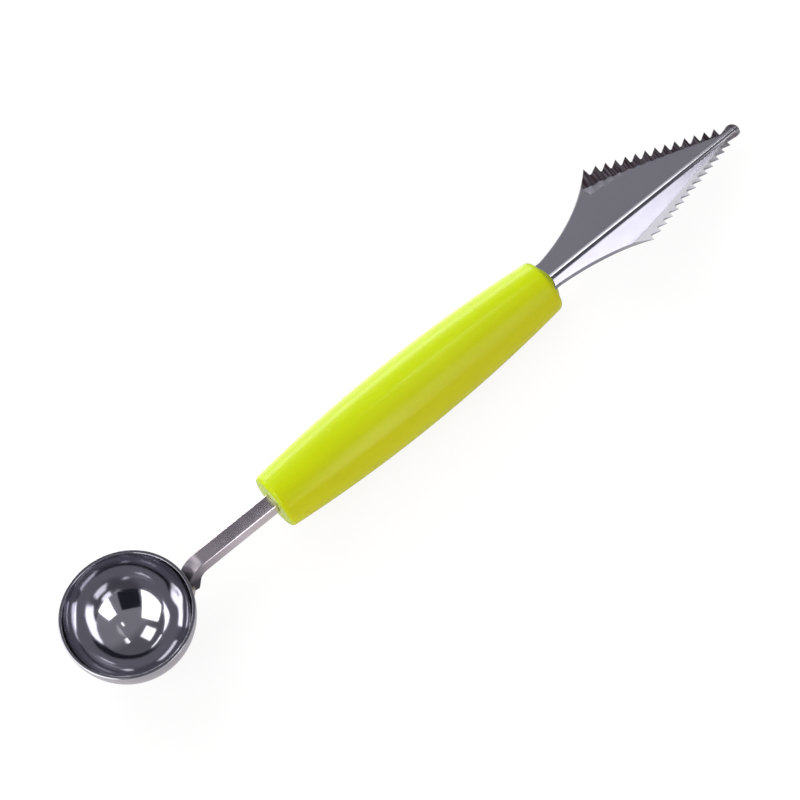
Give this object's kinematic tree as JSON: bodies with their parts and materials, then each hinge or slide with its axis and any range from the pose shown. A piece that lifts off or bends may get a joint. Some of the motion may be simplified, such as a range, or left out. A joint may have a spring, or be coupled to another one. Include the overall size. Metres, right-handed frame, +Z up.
{
  "type": "fruit carving knife",
  "caption": "Hand tool for cutting fruit: a barrel-shaped moulded handle with a half-round melon scoop on a square stem at one end and a folded, serrated V-shaped blade at the other.",
  "frame": {"origin": "under the middle of the tool's outer box, on the surface it lies on", "axes": "+X along the tool from the scoop to the blade, +Z up, the way the scoop and the blade's V open, +Y to the left of the blade"},
  "size_m": [0.1972, 0.0316, 0.0186],
  "materials": {
    "handle_plastic": "gloss",
    "bowl_steel": "polished",
    "stem_steel": "satin",
    "weld_steel": "satin",
    "blade_steel": "satin"
  },
  "bodies": {
    "root": {"handle": "handle_plastic", "scoop_bowl": "bowl_steel", "scoop_stem": "stem_steel", "stem_weld_left": "weld_steel", "stem_weld_right": "weld_steel", "carving_blade": "blade_steel"}
  },
  "joints": []
}
